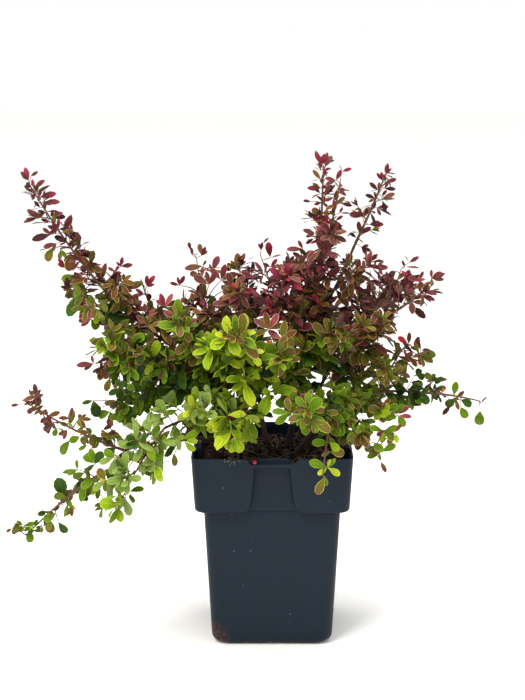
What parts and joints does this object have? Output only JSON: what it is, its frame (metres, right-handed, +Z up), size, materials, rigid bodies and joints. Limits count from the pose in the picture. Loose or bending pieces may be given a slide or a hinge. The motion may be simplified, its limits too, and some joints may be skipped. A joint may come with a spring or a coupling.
{
  "type": "potted japanese barberry",
  "caption": "Open, many-stemmed thorny shrub with small oval leaves, wine red above and green below, in a square tapered nursery pot.",
  "frame": {"origin": "middle of the pot's flat underside", "axes": "+Z up through the pot, +X to the right and -Y to the front as the plant is usually looked at"},
  "size_m": [0.4885, 0.3051, 0.4902],
  "materials": {
    "pot": "satin, finely grained",
    "soil": "rough, crumbly potting bark",
    "stem": "ridged dark bark",
    "bough": "smooth red-brown bark",
    "foliage_bright": "soft leaf, slightly waxy",
    "foliage_bronze": "soft leaf, slightly waxy",
    "foliage_dark": "soft leaf, slightly waxy",
    "foliage_green": "soft leaf, slightly waxy",
    "foliage_pale": "soft leaf, slightly waxy",
    "foliage_wine": "soft leaf, slightly waxy"
  },
  "bodies": {
    "root": {"pot": "pot", "soil": "soil", "stem_left": "stem", "stem_tall": "stem", "stem_right": "stem", "stem_front": "stem", "stem_rear": "stem", "stem_rear_right": "stem", "stem_low_left": "stem", "stem_front_right": "stem", "bough_left_arch": "bough", "bough_left_rear": "bough", "bough_left_low": "bough", "bough_left_trail": "bough", "bough_pale": "bough", "bough_tall": "bough", "bough_tall_right": "bough", "bough_right": "bough", "bough_right_low": "bough", "bough_rear_right": "bough", "leaves_arch_tip": "foliage_wine", "leaves_arch_outer": "foliage_bronze", "leaves_arch_inner": "foliage_wine", "leaves_left_fore": "foliage_green", "leaves_left_front": "foliage_green", "leaves_left_rear": "foliage_dark", "leaves_left_under": "foliage_dark", "leaves_left_long_twig": "foliage_green", "leaves_left_trail_tip": "foliage_green", "leaves_pale_spray": "foliage_pale", "leaves_pale_inner": "foliage_bright", "leaves_front_high": "foliage_bright", "leaves_front_low": "foliage_bright", "leaves_front_mid": "foliage_green", "leaves_centre_right": "foliage_green", "leaves_front_right": "foliage_green", "leaves_front_droop": "foliage_bright", "leaves_upper_front": "foliage_bronze", "leaves_upper_left": "foliage_wine", "leaves_upper_left_fore": "foliage_bronze", "leaves_upper_mid": "foliage_wine", "leaves_upper_mid_rear": "foliage_wine", "leaves_tall_shoot": "foliage_wine", "leaves_tall_twin": "foliage_wine", "leaves_tall_right_tip": "foliage_wine", "leaves_crown_left": "foliage_wine", "leaves_crown_front": "foliage_wine", "leaves_crown_right": "foliage_wine", "leaves_right_tip": "foliage_wine", "leaves_right_tip_rear": "foliage_wine", "leaves_right_fore": "foliage_bronze", "leaves_right_mid": "foliage_bronze", "leaves_right_inner": "foliage_green", "leaves_right_low": "foliage_green", "leaves_right_long_twig": "foliage_dark", "leaves_right_rear": "foliage_green", "leaves_rear_mid": "foliage_wine", "leaves_rear_left": "foliage_bronze", "leaves_rear_right": "foliage_wine", "leaves_rear_inner": "foliage_bronze"}
  },
  "joints": []
}
